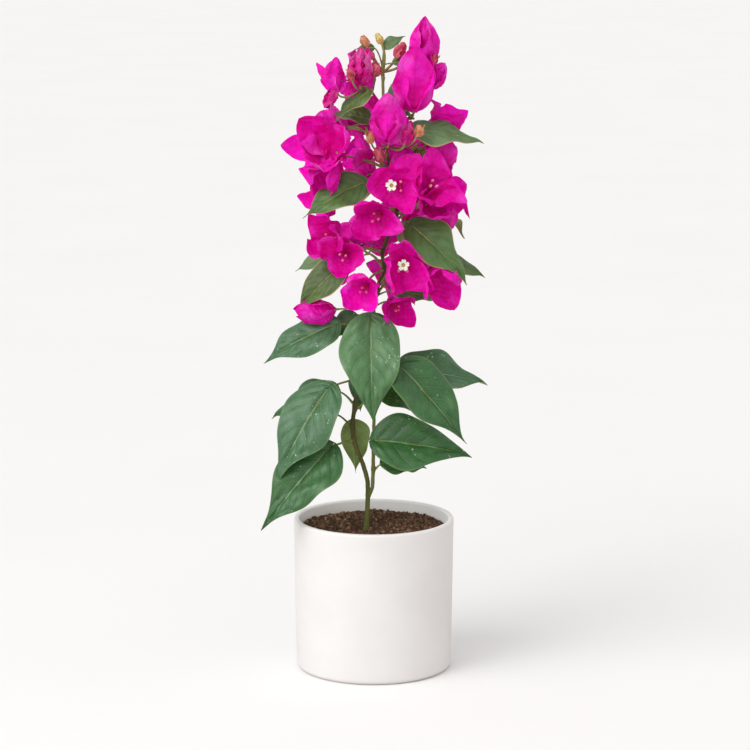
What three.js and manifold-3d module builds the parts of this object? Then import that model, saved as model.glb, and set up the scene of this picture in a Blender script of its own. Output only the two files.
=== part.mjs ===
// A young bougainvillea in its white pot: a slender forked stem that stands in the soil, broad drooping leaves low
// down, and a narrow crown of short flowering sprays, each with papery three-bract blooms, round the upper stem.
//
// Units are millimetres, +Z is up, and the origin is the centre of the pot's flat underside. The front of the plant
// is -Y. A bearing is an angle round +Z from +X, so -90 is the front, 0 the right, 90 the back and 180 the left.
// A slope is an angle above level. All angles are in degrees.
import * as THREE from "three";
import Module from "manifold-3d";

const wasm = await Module();
wasm.setup();

// ---------------------------------------------------------------- driving dimensions
const CLEAR = 0.3; // the gap between a piece and the one that carries it
const MARGIN = 0.6; // how much larger than life a placed piece is when later ones are cut clear of it
const SMOOTH = 0.05; // how far a joined solid's surface may move when its smallest faces are merged
const WELD_GRIDS = [0.05, 0.03, 0.02, 0.01, 0.005];

const POT = { height: 124, rim: 65, foot: 63, wall: 4.5, floor: 6, edge: 4, lip: 1.6, sides: 56 };
const SOIL_TOP = 115;

const MAIN_STEM = { foot: 2.9, flare: 6, low: 1.9, tip: 1.15, sides: 6, step: 10.5 };
const SIDE_STEM = { low: 1.5, tip: 1.1, sides: 6, step: 12 };
const TWIG = { root: 1.05, tip: 0.75, inside: 0.6, spacing: 2.4 };
const STALK = 0.65; // radius of a bloom's or a bud's stalk
const PETIOLE = 0.75; // radius of a leaf's stalk

// A leaf's width and thickness are shares of its length. Its blade is folded up along the midrib, and curls down
// towards its drawn-out tip.
const LEAF = { width: 0.57, thick: 0.016, fold: 0.2, curl: 26 };
const LEAF_STATIONS = [0, 0.12, 0.32, 0.55, 0.78, 0.92];
const PETIOLE_STEPS = 3;
// A bloom's three bracts are fused in one lobed cup. Its width and depth follow from how far it is open, from 0 to 1.
const BRACT = { count: 3, around: 4, waist: 0.46, heart: 0.15, flare: 60, tipShut: -42, tipOpen: 78 };
const FLOWER = { length: 0.5, neck: 0.9, mouth: 1.5, from: 0.7 }; // the tube inside a bloom that is open that far

// The stems' centre lines: height above the pot's underside, then x and y.
const MAIN_BENDS = [
  [SOIL_TOP + CLEAR, -6.2, -13],
  [153, -4.8, -11],
  [169, -8.6, -10],
  [183, -14.2, -8],
  [197, -17, -6],
  [217, -15, -2],
  [240, -10, 1],
  [290, -1, 4],
  [313, 3.5, 4],
  [326, 8.3, 2],
  [340, 7, 0],
  [355, 12.3, 1],
  [368, 17.6, 3],
  [384, 19, 4.5],
  [414, 11.4, 3],
  [446, 8.2, 0],
  [480, 7.1, 0],
];
const SIDE_BENDS = [
  [148, -1.2, -11.6],
  [170, -0.4, -11],
  [240, 0.4, -7],
  [290, 0.4, -5],
];

// Single leaves: the stem and height where each petiole leaves it; the petiole's bearing, reach and rise; then the
// blade's length, bearing, slope and roll.
const LEAVES = {
  leaf_front: ["side", 281, -99, 15, 9, 86, -90, -68, 0],
  leaf_left_high: ["side", 278, 197, 31, 7, 66, 190, -20, -44],
  leaf_left_inner: ["side", 284, 172, 15, 7, 34, 206, -34, -30],
  leaf_left_large: ["main", 237, 216, 30, -4, 88, 213, -48, -28],
  leaf_left_behind: ["main", 218, 186, 14, 10, 60, 172, -14, -36],
  leaf_low_left: ["main", 189, 218, 22, -3, 87, 212, -38, -38],
  leaf_low_inner: ["main", 196, 80, 7, 6, 43, 84, -74, 0],
  leaf_low_right: ["side", 182, -60, 2, 8, 80, -6, -3, 58],
  leaf_low_right_behind: ["side", 166, 10, 6, 4, 40, 16, 0, 42],
  leaf_right_large: ["side", 243, -36, 24, 9, 82, -26, -40, 36],
  leaf_right_behind: ["side", 238, 26, 22, 5, 75, 5, -1, 44],
  leaf_right_inner: ["main", 214, 8, 18, 10, 46, 8, -10, 30],
  leaf_stem_inner: ["main", 232, 88, 9, 8, 32, -97, -80, 0],
  leaf_mid_behind: ["main", 306, 10, 12, 3, 38, 2, -4, 34],
  leaf_mid_right: ["main", 365, -56, 21, 0, 66, -28, -34, 38],
  leaf_upper_inner: ["main", 440, 150, 9, 5, 34, 172, 18, -34],
  leaf_top_inner: ["main", 452, 34, 6, 6, 34, 50, 58, 0],
  leaf_back_1: ["main", 200, 140, 18, 8, 56, 140, -34, 0],
  leaf_back_2: ["side", 232, 62, 16, 10, 62, 62, -14, 0],
  leaf_back_3: ["side", 262, 96, 16, 10, 64, 96, -40, 0],
};

// Flowering sprays: the stem and height where each twig leaves it, and the twig's bearing, reach and rise to its fork.
// From the fork come leaves [bearing, reach, rise of the petiole; blade length, bearing, slope, roll],
// blooms [bearing, reach, rise of the stalk; bearing and slope that the bloom looks to; bract length; openness; and
// how far its bracts are turned, where that isn't left to chance],
// and closed buds [bearing, reach, rise of the stalk; length].
const SPRAYS = {
  spray_tip: {
    foot: ["main", 480, 0, 0, 10],
    leaves: [
      [60, 2, 13, 20, 10, 34, 48],
      [-30, 10, 1, 17, 14, 14, 44],
      [205, 8, 13, 15, 196, 4, -50],
    ],
    blooms: [],
    buds: [
      [194, 12, 13, 10],
      [150, 1, 16, 9],
      [-16, 11, 5, 14],
      [-6, 20, 5, 9],
      [200, 8, 4, 8],
    ],
  },
  spray_top_right: {
    foot: ["main", 436, -23, 23, 12],
    leaves: [[200, 4, 2, 26, 160, 34, 0]],
    blooms: [
      [-10, 8, 43, 90, 88, 36, 0.05, 0],
      [-92, 12, 8, 90, 87, 47, 0.12, 4],
      [-4, 14, 24, 2, 66, 22, 0.02],
    ],
    buds: [[-10, 13, 42, 10]],
  },
  spray_top_left: {
    foot: ["main", 455, 217, 20, 19],
    leaves: [[-58, 12, -3, 37, 198, -27, -12]],
    blooms: [
      [-94, 13, 2, 90, 78, 29, 0.12, 8],
      [214, 23, -3, 132, 66, 27, 0.22, 0],
      [96, 14, -12, 104, 40, 27, 0.45],
      [211, 25, -1, 214, -66, 17, 0.1],
    ],
    buds: [
      [250, 20, 6, 11],
      [-25, 12, 8, 12],
    ],
  },
  spray_centre_top: {
    foot: ["main", 418, -94, 19, 10],
    leaves: [[10, 22, 12, 58, 0, 0, 34]],
    blooms: [
      [-80, 12, 3, 84, 82, 40, 0.18, 0],
      [-36, 18, 2, 60, 74, 21, 0.12, 0],
    ],
    buds: [
      [-27, 27, 8, 11],
      [226, 16, 3, 10],
      [240, 9, -12, 12],
    ],
  },
  spray_right_upper: {
    foot: ["main", 408, 8, 25, 13],
    leaves: [],
    blooms: [
      [20, 10, 18, -6, 48, 32, 0.5, 0],
      [-60, 11, -10, 10, 44, 28, 0.45],
    ],
    buds: [],
  },
  spray_left_upper: {
    foot: ["main", 406, 201, 41, 13],
    leaves: [],
    blooms: [
      [262, 13, 4, 244, 22, 42, 0.4, 50],
      [205, 14, 5, 214, 2, 34, 0.5],
      [252, 9, -3, 238, -36, 35, 0.24, 30],
    ],
    buds: [],
  },
  spray_left_inner: {
    foot: ["main", 401, 170, 9, 12],
    leaves: [],
    blooms: [[180, 5, 5, 190, 12, 28, 0.55]],
    buds: [],
  },
  spray_front: {
    foot: ["main", 384, -97, 17, 8],
    leaves: [
      [204, 26, 8, 58, 205, -19, -40],
      [10, 9, 12, 26, 58, 62, 0],
    ],
    blooms: [
      [10, 6, 10, 80, 76, 28, 0.25, 20],
      [288, 12, 5, 264, 6, 33, 0.7, 88],
    ],
    buds: [],
  },
  spray_right_mid: {
    foot: ["main", 372, -37, 19.5, 8],
    leaves: [],
    blooms: [
      [-64, 15, 14, -70, 22, 35, 0.45],
      [-60, 11, 1, -60, 8, 31, 0.4],
      [40, 17, -10, -8, -16, 26, 0.5],
    ],
    buds: [],
  },
  spray_left_mid: {
    foot: ["main", 374, 189, 39.5, 5],
    leaves: [],
    blooms: [[196, 9, 1, 200, -6, 31, 0.5]],
    buds: [],
  },
  spray_front_mid: {
    foot: ["main", 358, 245, 15.5, 5],
    leaves: [],
    blooms: [[262, 10, 12, 252, -14, 34, 0.5, 20]],
    buds: [],
  },
  spray_left_low: {
    foot: ["main", 341, 205, 23, 4],
    leaves: [
      [190, 9, -13, 53, 197, -36, -44],
      [150, 24, -8, 30, 182, -16, -34],
    ],
    blooms: [
      [205, 16, 9, 232, 6, 31, 0.5],
      [249, 17, -2, 258, -6, 30, 0.55],
    ],
    buds: [],
  },
  spray_centre_low: {
    foot: ["main", 326, 238, 19, -4],
    leaves: [],
    blooms: [[262, 13, -3, 252, -16, 33, 0.42, 0]],
    buds: [],
  },
  spray_right_low: {
    foot: ["main", 316, -37, 18, 14],
    leaves: [[23, 30, 7, 46, 2, -12, 32]],
    blooms: [
      [-80, 12, 5, -88, -10, 37, 0.55, 0],
      [-10, 28, 1, -66, -36, 37, 0.4],
    ],
    buds: [],
  },
  spray_side_top: {
    foot: ["side", 290, 0, 0, 7],
    leaves: [],
    blooms: [
      [-20, 15, 4, -60, -24, 27, 0.45],
      [195, 33, -1, 183, -6, 32, 0.15],
    ],
    buds: [],
  },
};

// The back of the crown: sprays set out up the stem by a seeded rule, turning through the half that faces away.
const BACK = {
  sprays: 7,
  from: 308,
  to: 426,
  bearings: [28, 144],
  turn: 0.618, // the golden share of the range from one spray to the next
  reach: 24,
  rise: 9,
  bract: 32,
  leaf: 44,
  seed: 7,
};

// ---------------------------------------------------------------- the growth rule
const UP = new THREE.Vector3(0, 0, 1);
const radians = THREE.MathUtils.degToRad;

// The direction of a bearing and a slope.
function heading(bearing, slope) {
  const b = radians(bearing);
  const s = radians(slope);
  return new THREE.Vector3(Math.cos(s) * Math.cos(b), Math.cos(s) * Math.sin(b), Math.sin(s));
}

// A repeatable number from 0 to 1 for each whole number, and one between two limits.
function chance(n) {
  const s = Math.sin((n + BACK.seed) * 12.9898) * 43758.5453;
  return s - Math.floor(s);
}
function between(low, high, n) {
  return low + (high - low) * chance(n);
}

// The centre of a stem at a height: a cubic through its bends, with each bend's slope taken from its neighbours.
function stemAt(bends, height) {
  const last = bends.length - 1;
  let i = 0;
  while (i < last - 1 && height > bends[i + 1][0]) i += 1;
  const slope = (k, axis) => {
    const a = bends[Math.max(k - 1, 0)];
    const b = bends[Math.min(k + 1, last)];
    return (b[axis] - a[axis]) / (b[0] - a[0]);
  };
  const span = bends[i + 1][0] - bends[i][0];
  const t = (height - bends[i][0]) / span;
  const value = (axis) =>
    bends[i][axis] * (2 * t ** 3 - 3 * t ** 2 + 1) +
    slope(i, axis) * span * (t ** 3 - 2 * t ** 2 + t) +
    bends[i + 1][axis] * (3 * t ** 2 - 2 * t ** 3) +
    slope(i + 1, axis) * span * (t ** 3 - t ** 2);
  return new THREE.Vector3(value(1), value(2), height);
}

// The radius of each stem at a height: an even taper, and on the main stem a flare at the foot.
function mainRadius(height) {
  const foot = MAIN_BENDS[0][0];
  const share = (height - foot) / (MAIN_BENDS.at(-1)[0] - foot);
  const flare = (MAIN_STEM.foot - MAIN_STEM.low) * Math.exp(-(height - foot) / MAIN_STEM.flare);
  return MAIN_STEM.low + (MAIN_STEM.tip - MAIN_STEM.low) * share + flare;
}
function sideRadius(height) {
  const foot = SIDE_BENDS[0][0];
  return SIDE_STEM.low + ((SIDE_STEM.tip - SIDE_STEM.low) * (height - foot)) / (SIDE_BENDS.at(-1)[0] - foot);
}
const STEMS = {
  main: { bends: MAIN_BENDS, radius: mainRadius },
  side: { bends: SIDE_BENDS, radius: sideRadius },
};

// The point beside a stem where a twig of a given radius starts, just clear of the bark. At a stem's very tip the
// twig starts above the end instead.
function footOn(stemName, height, bearing, radius) {
  const { bends, radius: stemRadius } = STEMS[stemName];
  const centre = stemAt(bends, height);
  if (height >= bends.at(-1)[0]) return centre.addScaledVector(UP, CLEAR);
  const lean = stemAt(bends, height + 1).sub(stemAt(bends, height - 1)).normalize();
  const out = heading(bearing, 0);
  out.addScaledVector(lean, -out.dot(lean)).normalize();
  return centre.addScaledVector(out, stemRadius(height) + CLEAR + 0.5 * radius);
}

// Where a stalk ends, given the bearing, reach and rise from its start.
function beyond(start, bearing, reach, rise) {
  return start.clone().addScaledVector(heading(bearing, 0), reach).addScaledVector(UP, rise);
}

// A stalk's line: out and up first where it rises, out and then down where it falls.
function archEnds(start, end) {
  const via = start.clone().lerp(end, 0.5);
  via.z = Math.max(start.z, end.z);
  return [start, via, end];
}
function archLine(start, end, steps) {
  return new THREE.QuadraticBezierCurve3(...archEnds(start, end)).getPoints(steps);
}

// A stalk's line that arrives along a direction.
function arrivingLine(start, end, direction, steps) {
  const via = end.clone().addScaledVector(direction, -0.45 * start.distanceTo(end));
  return new THREE.QuadraticBezierCurve3(start, via, end).getPoints(steps);
}

// ---------------------------------------------------------------- solids
// A closed solid through rings of points, each ring anticlockwise seen from the end it goes to. Each end is closed by
// a fan round a point: the given one, or the ring's middle.
function loft(rings, tip, root) {
  const count = rings[0].length;
  const points = rings.flat();
  const faces = [];
  for (let i = 0; i + 1 < rings.length; i += 1) {
    for (let j = 0; j < count; j += 1) {
      const a = i * count + j;
      const b = i * count + ((j + 1) % count);
      faces.push(a, b, b + count, a, b + count, a + count);
    }
  }
  const middle = (ring) => ring.reduce((sum, p) => sum.add(p), new THREE.Vector3()).divideScalar(count);
  const base = points.push(root ?? middle(rings[0])) - 1;
  const end = points.push(tip ?? middle(rings.at(-1))) - 1;
  const top = (rings.length - 1) * count;
  for (let j = 0; j < count; j += 1) {
    const k = (j + 1) % count;
    faces.push(base, k, j, end, top + j, top + k);
  }
  return solidFrom(points.flatMap((p) => p.toArray()), faces);
}

function solidFrom(coordinates, faces) {
  return new wasm.Manifold(
    new wasm.Mesh({
      numProp: 3,
      vertProperties: new Float32Array(coordinates),
      triVerts: new Uint32Array(faces),
    }),
  );
}

// A tapering limb along a line of points. Its rings turn as little as they can from one to the next.
function limb(line, radiusAt, sides, flatFoot = false) {
  const rings = [];
  let across = null;
  line.forEach((point, i) => {
    const tangent = line[Math.min(i + 1, line.length - 1)].clone().sub(line[Math.max(i - 1, 0)]).normalize();
    if (flatFoot && i === 0) tangent.copy(UP);
    if (!across) across = Math.abs(tangent.z) > 0.9 ? new THREE.Vector3(1, 0, 0) : UP.clone();
    across = across.clone().addScaledVector(tangent, -across.dot(tangent)).normalize();
    const over = tangent.clone().cross(across);
    const radius = radiusAt(i / (line.length - 1));
    rings.push(
      Array.from({ length: sides }, (_, j) => {
        const a = (2 * Math.PI * j) / sides;
        return point
          .clone()
          .addScaledVector(across, radius * Math.cos(a))
          .addScaledVector(over, radius * Math.sin(a));
      }),
    );
  });
  return loft(rings);
}

const taper = (from, to) => (share) => from + (to - from) * share;

// A leaf's outline: its half-width at a share of its length. It is broadest a third of the way along.
const leafOutline = (u) => Math.sin(Math.PI * u ** 0.62) ** 1.25;

// A leaf on its petiole, as one solid: the petiole, of four sides, widens into the blade. The midrib leaves the
// petiole's end along the row's bearing and slope, and curls down towards the tip. Roll turns the blade about its
// midrib, from facing up and outwards. Across, the blade is a thin lens with its margins lifted by the fold.
function leafOn(start, [bearing, reach, rise, length, towards, slope, roll], grow) {
  const base = beyond(start, bearing, reach, rise);
  const ahead = heading(towards, slope);
  const face = heading(towards, slope + 90).applyAxisAngle(ahead, radians(roll));
  const side = face.clone().cross(ahead);
  const ring = (point, across, normal, half, deep, lift) => [
    point.clone().addScaledVector(across, half).addScaledVector(normal, lift),
    point.clone().addScaledVector(normal, deep),
    point.clone().addScaledVector(across, -half).addScaledVector(normal, lift),
    point.clone().addScaledVector(normal, -deep),
  ];

  const rings = [];
  const line = archLine(start, base, PETIOLE_STEPS);
  const across = side.clone();
  for (let i = PETIOLE_STEPS - 1; i >= 0; i -= 1) {
    const tangent = line[i + 1].clone().sub(line[Math.max(i - 1, 0)]).normalize();
    across.addScaledVector(tangent, -across.dot(tangent)).normalize();
    const radius = PETIOLE + grow;
    rings.unshift(ring(line[i], across, tangent.clone().cross(across), radius, radius, 0));
  }

  const curled = (u, vector, towardsVector, sign) =>
    vector
      .clone()
      .multiplyScalar(Math.cos(radians(LEAF.curl * u)))
      .addScaledVector(towardsVector, sign * Math.sin(radians(LEAF.curl * u)));
  const point = base.clone();
  let before = 0;
  for (const u of [...LEAF_STATIONS, 1]) {
    point.addScaledVector(curled((u + before) / 2, ahead, face, -1), (u - before) * length);
    before = u;
    if (u === 1) break;
    const half = Math.max((length * LEAF.width * leafOutline(u)) / 2, 0.9) + 2 * grow;
    const deep = (length * LEAF.thick * (1 - 0.4 * u)) / 2 + grow;
    rings.push(ring(point, side, curled(u, face, ahead, 1), half, deep, LEAF.fold * half));
  }
  return loft(rings, point.addScaledVector(ahead, grow));
}

// The cup of a bloom: from its base by a waist to its lobed rim, and straight in to its heart. A bract's midrib makes
// an angle with the axis that goes from the flare at its base to a tip angle set by how far it is open; the rim dips
// where one bract crosses the next.
function cup(base, axis, out, spin, size, open, grow) {
  const count = BRACT.count * BRACT.around;
  const tipAngle = BRACT.tipShut + (BRACT.tipOpen - BRACT.tipShut) * open;
  const over = axis.clone().cross(out);
  const dip = 0.29 + 0.34 * open;
  const heart = BRACT.heart * size;
  // A ring at a share of each bract's length, moved out of the surface by the growth: outwards, or inwards at the rim.
  const ring = (share, inwards) =>
    Array.from({ length: count }, (_, j) => {
      const half = BRACT.around / 2;
      const offset = Math.abs(((j + half) % BRACT.around) - half) / half;
      const distance = share * size * (1 - dip * offset ** (1.4 - 0.85 * open));
      const angle = BRACT.flare + ((tipAngle - BRACT.flare) * distance) / size;
      const mean = radians((BRACT.flare + angle) / 2);
      let reach = distance * Math.sin(mean);
      let height = distance * Math.cos(mean);
      const lie = inwards ? Math.atan2(reach, height - heart) : radians(angle);
      const side = inwards ? -grow : grow;
      const past = share === 1 ? grow : 0;
      reach = Math.max(reach + side * Math.cos(lie) + past * Math.sin(lie), 0.3);
      height += -side * Math.sin(lie) + past * Math.cos(lie);
      const a = radians(spin) + (2 * Math.PI * j) / count;
      return base
        .clone()
        .addScaledVector(axis, height)
        .addScaledVector(out, reach * Math.cos(a))
        .addScaledVector(over, reach * Math.sin(a));
    });
  const at = (distance) => base.clone().addScaledVector(axis, distance);
  const rings = [ring(BRACT.waist), ring(1)];
  if (grow > 0) rings.push(ring(1, true));
  return loft(rings, at(heart + 5 * grow * (1 - open) + 1.5 * grow), at(-2 * grow));
}

// A bloom on its stalk, more or less spread, with the flower's tube where it is open enough to show.
function bloomOn(start, [bearing, reach, rise, towards, slope, size, open], spin, grow) {
  const base = beyond(start, bearing, reach, rise);
  const axis = heading(towards, slope);
  const pieces = [
    limb(arrivingLine(start, base.clone().addScaledVector(axis, 0.4), axis, 2), taper(STALK + 0.1 + grow, STALK + grow), 3),
    cup(base, axis, heading(towards, slope + 90), spin, size, open, grow),
  ];
  if (open >= FLOWER.from) {
    const line = [0.06, FLOWER.length].map((share) => base.clone().addScaledVector(axis, share * size));
    pieces.push(limb(line, taper(FLOWER.neck + grow, FLOWER.mouth + grow), 3));
  }
  return pieces;
}

// A closed bud: a plump spindle that its stalk swells into.
function budOn(start, [bearing, reach, rise, length], grow) {
  const base = beyond(start, bearing, reach, rise);
  const axis = heading(bearing, 62);
  const line = arrivingLine(start, base, axis, 2);
  line.push(...[0.35, 0.75, 1].map((share) => base.clone().addScaledVector(axis, share * length)));
  const radii = [STALK, STALK, STALK, 0.3 * length, 0.27 * length, 0.05 * length];
  return limb(line, (share) => radii[Math.round(share * (line.length - 1))] + grow, 4);
}

// A spray: a twig from its foot to its fork, and what grows from it. The first of its stalks starts at the fork, and
// each of the others a little further back along the twig; where each ends is measured from the fork.
function sprayPieces({ foot, leaves, blooms, buds }, number, grow) {
  const [stemName, height, bearing, reach, rise] = foot;
  const start = footOn(stemName, height, bearing, TWIG.root);
  const fork = beyond(start, bearing, reach, rise);
  const arch = new THREE.QuadraticBezierCurve3(...archEnds(start, fork));
  const length = start.distanceTo(fork);
  let order = 0;
  const grown = (grow3, [towards, out, up, ...rest]) => {
    const from = arch.getPoint(Math.max(1 - (TWIG.inside + order * TWIG.spacing) / length, 0.2));
    order += 1;
    const end = beyond(fork, towards, out, up).sub(from);
    const turn = THREE.MathUtils.radToDeg(Math.atan2(end.y, end.x));
    return grow3(from, [turn, Math.hypot(end.x, end.y), end.z, ...rest], grow);
  };
  return [
    limb(arch.getPoints(3), taper(TWIG.root + grow, TWIG.tip + grow), 3),
    ...leaves.map((leaf) => grown(leafOn, leaf)),
    ...blooms.flatMap((bloom, i) =>
      grown((from, row) => bloomOn(from, row, bloom[7] ?? spinOf(number, i), grow), bloom),
    ),
    ...buds.map((bud) => grown(budOn, bud)),
  ];
}

// How far a bloom's bracts are turned about its axis where its row doesn't say: by chance, the same each time.
function spinOf(number, index) {
  return 120 * chance(31 * number + 7 * index);
}

// The back sprays, in the same form as the others.
function backSpray(i) {
  const [low, high] = BACK.bearings;
  const height = BACK.from + ((BACK.to - BACK.from) * i) / (BACK.sprays - 1);
  const bearing = low + (high - low) * ((i * BACK.turn + 0.2) % 1);
  const n = 100 + 10 * i;
  return {
    foot: ["main", height, bearing, BACK.reach, BACK.rise],
    leaves: [[bearing + between(-50, 50, n), 10, 4, BACK.leaf + between(-6, 10, n + 1), bearing, between(-35, -5, n + 2), 0]],
    blooms: [
      [bearing - 50, 14, between(2, 12, n + 3), bearing - 28, between(0, 35, n + 4), BACK.bract + between(-3, 4, n + 5), 0.6],
      [bearing + 48, 14, between(-6, 6, n + 6), bearing + 26, between(-15, 25, n + 7), BACK.bract + between(-3, 4, n + 8), 0.6],
    ],
    buds: [],
  };
}

// ---------------------------------------------------------------- nodes
const group = new THREE.Group();

function addMesh(name, geometry, color, roughness) {
  const mesh = new THREE.Mesh(geometry, new THREE.MeshStandardMaterial({ color, roughness, metalness: 0 }));
  mesh.name = name;
  group.add(mesh);
}

function geometryOf(solid) {
  const { vertProperties, triVerts, numProp, numVert } = solid.getMesh();
  const positions = new Float32Array(numVert * 3);
  for (let i = 0; i < numVert; i += 1) positions.set(vertProperties.subarray(i * numProp, i * numProp + 3), i * 3);
  const geometry = new THREE.BufferGeometry();
  geometry.setAttribute("position", new THREE.BufferAttribute(positions, 3));
  geometry.setIndex(new THREE.BufferAttribute(triVerts, 1));
  geometry.computeVertexNormals();
  return geometry;
}

// A turned solid about +Z from a profile of [radius, height] that starts and ends on the axis.
function turned(profile, sides) {
  const points = profile.map(([radius, height]) => new THREE.Vector2(radius, height));
  return new THREE.LatheGeometry(points, sides).rotateX(Math.PI / 2);
}

const innerRadius = (height) =>
  POT.foot - POT.wall + ((POT.rim - POT.foot) * height) / POT.height;

function potGeometry() {
  const { height, rim, foot, wall, floor, edge, lip, sides } = POT;
  const corner = (share) => {
    const a = (share * Math.PI) / 2;
    return [foot - edge + edge * Math.sin(a), edge - edge * Math.cos(a)];
  };
  return turned(
    [
      [0, 0], corner(0), corner(0.4), corner(0.75), corner(1),
      [rim, height - lip], [rim - 0.35 * lip, height - 0.35 * lip], [rim - lip, height],
      [rim - wall + lip, height], [rim - wall, height - lip],
      [innerRadius(floor), floor], [0, floor],
    ],
    sides,
  );
}

function soilGeometry() {
  const low = POT.floor + CLEAR;
  return turned(
    [[0, low], [innerRadius(low) - CLEAR, low], [innerRadius(SOIL_TOP) - CLEAR, SOIL_TOP], [0, SOIL_TOP]],
    POT.sides,
  );
}

function stemSolid({ bends, radius }, sides, step, grow) {
  const foot = bends[0][0];
  const tall = bends.at(-1)[0] - foot;
  const steps = Math.round(tall / step);
  const heights = Array.from({ length: steps + 1 }, (_, i) => foot + (tall * i) / steps);
  const line = heights.map((height) => stemAt(bends, height));
  return limb(line, (share) => radius(foot + share * tall) + grow, sides, true);
}

// Solids already placed, each a little larger than life, so that what comes later keeps clear of them.
const taken = [];

function claim(pieces) {
  const solid = wasm.Manifold.union(pieces);
  taken.push({ solid, box: solid.boundingBox() });
}

function overlaps(a, b) {
  return [0, 1, 2].every((k) => a.min[k] < b.max[k] && b.min[k] < a.max[k]);
}

// Joins pieces into one solid, cut clear of what is already there; a scrap that the cut leaves loose is dropped.
function joined(pieces) {
  let solid = wasm.Manifold.union(pieces);
  const box = solid.boundingBox();
  for (const other of taken) if (overlaps(box, other.box)) solid = solid.subtract(other.solid);
  return welded(solid.simplify(SMOOTH)).decompose().sort((a, b) => b.volume() - a.volume())[0];
}

// The same solid with its points set to a grid, and those that then coincide made one, so that no face is a mere
// sliver. A grid that would open or pinch the surface is passed over for a finer one.
function welded(solid) {
  const { vertProperties, triVerts, numProp } = solid.getMesh();
  for (const grid of WELD_GRIDS) {
    const numbers = new Map();
    const points = [];
    const numberOf = (vertex) => {
      const steps = [0, 1, 2].map((k) => Math.round(vertProperties[vertex * numProp + k] / grid));
      const key = steps.join();
      if (!numbers.has(key)) numbers.set(key, points.push(steps.map((n) => n * grid)) - 1);
      return numbers.get(key);
    };
    const faces = [];
    const edges = new Set();
    let sound = true;
    for (let i = 0; i < triVerts.length; i += 3) {
      const [a, b, c] = [0, 1, 2].map((k) => numberOf(triVerts[i + k]));
      if (a === b || b === c || c === a) continue;
      faces.push(a, b, c);
      for (const edge of [`${a},${b}`, `${b},${c}`, `${c},${a}`]) {
        if (edges.has(edge)) sound = false;
        edges.add(edge);
      }
    }
    for (const edge of edges) if (!edges.has(edge.split(",").reverse().join())) sound = false;
    if (sound) return solidFrom(points.flat(), faces);
  }
  return solid;
}

addMesh("pot", potGeometry(), 0xf4f2f0, 0.45);
addMesh("soil", soilGeometry(), 0x4a3024, 1);

for (const [name, stem, sizes, color] of [
  ["main_stem", STEMS.main, MAIN_STEM, 0x5b4a22],
  ["side_stem", STEMS.side, SIDE_STEM, 0x6b7a35],
]) {
  addMesh(name, geometryOf(stemSolid(stem, sizes.sides, sizes.step, 0)), color, 0.8);
  claim([stemSolid(stem, sizes.sides, sizes.step, CLEAR)]);
}

for (const [name, [stemName, height, ...row]] of Object.entries(LEAVES)) {
  const start = footOn(stemName, height, row[0], PETIOLE);
  addMesh(name, geometryOf(joined([leafOn(start, row, 0)])), 0x3f7a4a, 0.5);
  claim([leafOn(start, row, MARGIN)]);
}

const sprayRows = Object.entries(SPRAYS);
for (let i = 0; i < BACK.sprays; i += 1) sprayRows.push([`spray_back_${i + 1}`, backSpray(i)]);
sprayRows.forEach(([name, spray], number) => {
  addMesh(name, geometryOf(joined(sprayPieces(spray, number, 0))), 0xd8109a, 0.6);
  claim(sprayPieces(spray, number, MARGIN));
});

export default group;
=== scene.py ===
"""A young bougainvillea in a plain white pot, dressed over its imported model.

Sizes are in millimetres until a mesh is made. A bearing turns round +Z from +X, so -90 is the front; a slope rises
from level; both are in degrees. The plant grows by the rule of the part's source, carried to finer detail.
"""
import math
from math import degrees, radians
from types import SimpleNamespace as Sizes

import bpy
import numpy as np
from numpy import (arange, array, clip, column_stack, concatenate, cos, cross, exp, interp, linspace, maximum, pi,
                   sin, sqrt, stack, where)
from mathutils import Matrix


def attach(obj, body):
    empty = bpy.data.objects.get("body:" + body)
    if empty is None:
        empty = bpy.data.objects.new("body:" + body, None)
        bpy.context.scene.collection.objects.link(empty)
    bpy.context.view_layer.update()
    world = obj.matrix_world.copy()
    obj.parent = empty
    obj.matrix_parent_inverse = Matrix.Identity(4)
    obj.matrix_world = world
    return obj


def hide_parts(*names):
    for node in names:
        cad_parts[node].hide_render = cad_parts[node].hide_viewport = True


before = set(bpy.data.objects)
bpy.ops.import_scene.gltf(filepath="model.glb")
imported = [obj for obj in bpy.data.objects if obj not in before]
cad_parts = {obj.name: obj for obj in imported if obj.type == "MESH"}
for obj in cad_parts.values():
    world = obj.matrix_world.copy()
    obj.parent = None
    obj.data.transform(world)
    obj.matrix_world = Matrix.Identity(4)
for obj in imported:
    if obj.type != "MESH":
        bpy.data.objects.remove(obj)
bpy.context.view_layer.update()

# ---- the sizes that grow the plant
CLEAR = 0.3
SEED = 7

POT = Sizes(height=124, rim=65, foot=63, wall=4.5, floor=6, edge=4, lip=1.6)
SOIL_TOP = 115

MAIN_STEM = Sizes(foot=1.9, taper=0.75, flare=6)
SIDE_STEM = Sizes(foot=1.5, taper=0.4)
TWIG = Sizes(root=1.05, tip=0.75, inside=0.6, spacing=2.4, stout=1.15, top_stout=1.55)
STALK = 0.75
PETIOLE = Sizes(radius=0.9, clear=0.75)
LEAF = Sizes(width=0.57, fold=0.2, curl=26, pairs=7, slant=0.2, usual=80, bulge=0.075, lobes=0.075, swell=1.35,
             groove=0.55, wave=0.042, dents=0.5)
BRACT = Sizes(width=0.81, flare=60, tip_shut=-42, tip_open=78, pairs=6, slant=0.3, usual=34, bulge=0.06, lobes=0.07,
              puffs=0.5, crumples=0.85, ridges=0.4, wave=0.05, thick=0.2)
STAR = Sizes(radius=4.9, ahead=1.3, thick=0.25)
# Single leaves up to this height are in the low piece.
LOW_TOP = 300
# A bloom is bright or deep by chance: at these heights of its spray's foot, this share of the blooms is bright.
# The share grows with height as painted light, so the top looks lit and the lower blooms look shaded.
LIT_BLOOM_HEIGHTS, LIT_BLOOM_SHARES = (310, 360, 410, 440), (0.1, 0.5, 0.75, 0.95)

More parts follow.
